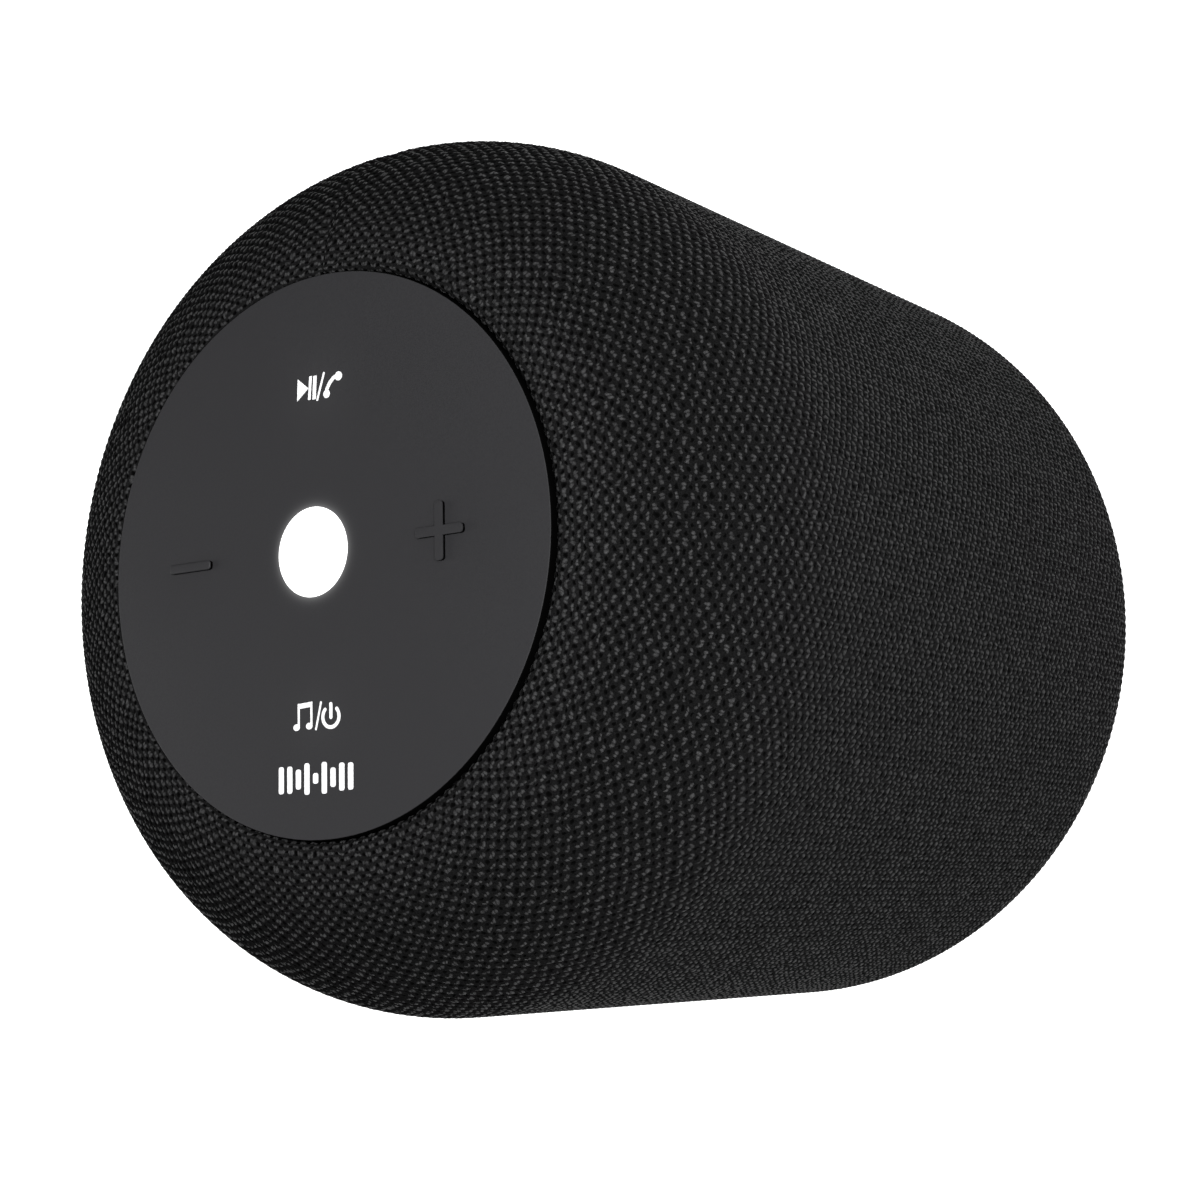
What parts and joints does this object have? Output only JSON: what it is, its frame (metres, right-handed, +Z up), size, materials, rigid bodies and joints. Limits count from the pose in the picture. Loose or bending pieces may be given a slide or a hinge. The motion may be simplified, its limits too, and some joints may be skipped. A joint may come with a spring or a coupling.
{
  "type": "portable smart speaker",
  "caption": "Upright cylindrical cloth-covered speaker with a round soft-touch control pad on top, press keys, a glowing lamp and a rubber port door at the back.",
  "frame": {"origin": "centre of the footprint, on the surface the foot ring stands on", "axes": "+Z up along the body's axis towards the control pad; -Y is the front of the panel, below the mode key; +Y is the back, where the ports are; +X is towards the plus key"},
  "size_m": [0.1, 0.1, 0.1175],
  "materials": {
    "knit_cloth": "black knitted mesh",
    "soft_touch_rubber": "smooth matte soft-touch",
    "black_plastic": "fine moulded texture",
    "grey_plastic": "moulded",
    "foot_rubber": "matte",
    "opal_lens": "lit opal diffuser",
    "led": "lit",
    "steel": "plated",
    "ferrite": "sintered ferrite",
    "cone_paper": "coated paper",
    "copper": "enamelled wire",
    "circuit_board": "solder mask",
    "cell_wrap": "shrink sleeve",
    "cable_film": "flat cable film"
  },
  "bodies": {
    "housing": {"fabric_sleeve": "knit_cloth", "grille_shell": "black_plastic", "bottom_cup": "black_plastic", "base_plate": "black_plastic", "foot_ring": "foot_rubber", "base_screw_1": "steel", "base_screw_2": "steel", "base_screw_3": "steel", "base_screw_4": "steel", "top_frame": "black_plastic", "top_screw_1": "steel", "top_screw_2": "steel", "top_screw_3": "steel", "top_screw_4": "steel", "control_pad": "soft_touch_rubber", "tact_switch_play": "steel", "tact_switch_mode": "steel", "tact_switch_plus": "steel", "tact_switch_minus": "steel", "light_lens": "opal_lens", "control_board": "circuit_board", "status_led": "led", "microphone": "steel", "control_ribbon": "cable_film", "sound_deflector": "grey_plastic", "cabinet_body": "grey_plastic", "cabinet_gasket": "foot_rubber", "driver_baffle": "grey_plastic", "driver_frame": "black_plastic", "driver_top_plate": "steel", "driver_magnet": "ferrite", "driver_yoke": "steel", "driver_spider": "cone_paper", "driver_surround": "foot_rubber", "driver_screw_1": "steel", "driver_screw_2": "steel", "driver_screw_3": "steel", "driver_screw_4": "steel", "radiator_surround": "foot_rubber", "battery_cell": "cell_wrap", "battery_holder": "grey_plastic", "main_board": "circuit_board", "wireless_module": "steel", "usb_socket": "steel", "aux_jack": "black_plastic", "port_bezel": "black_plastic"},
    "play_key": {"key_play": "soft_touch_rubber", "switch_plunger_play": "black_plastic"},
    "mode_key": {"key_mode": "soft_touch_rubber", "switch_plunger_mode": "black_plastic"},
    "plus_key": {"key_plus": "soft_touch_rubber", "switch_plunger_plus": "black_plastic"},
    "minus_key": {"key_minus": "soft_touch_rubber", "switch_plunger_minus": "black_plastic"},
    "diaphragm": {"driver_cone": "cone_paper", "dust_cap": "cone_paper", "voice_coil": "copper"},
    "bass_plate": {"radiator_plate": "steel"},
    "port_door": {"port_flap": "foot_rubber"}
  },
  "joints": [
    {"name": "play_press", "type": "slide", "parent": "housing", "child": "play_key", "axis": [0, 0, -1], "range_m": [0, 0.0004], "stiffness_N_per_m": 2500},
    {"name": "mode_press", "type": "slide", "parent": "housing", "child": "mode_key", "axis": [0, 0, -1], "range_m": [0, 0.0004], "stiffness_N_per_m": 2500},
    {"name": "plus_press", "type": "slide", "parent": "housing", "child": "plus_key", "axis": [0, 0, -1], "range_m": [0, 0.0004], "stiffness_N_per_m": 2500},
    {"name": "minus_press", "type": "slide", "parent": "housing", "child": "minus_key", "axis": [0, 0, -1], "range_m": [0, 0.0004], "stiffness_N_per_m": 2500},
    {"name": "cone_stroke", "type": "slide", "parent": "housing", "child": "diaphragm", "axis": [0, 0, 1], "range_m": [-0.0015, 0.0015], "stiffness_N_per_m": 1200},
    {"name": "bass_stroke", "type": "slide", "parent": "housing", "child": "bass_plate", "axis": [0, 0, 1], "range_m": [-0.002, 0.002], "stiffness_N_per_m": 900},
    {"name": "door_swing", "type": "hinge", "parent": "housing", "child": "port_door", "pos_m": [-0.01489, 0.04752, 0.031], "axis": [0, 0, 1], "range_deg": [0, 110], "stiffness_Nm_per_rad": 0.004}
  ]
}
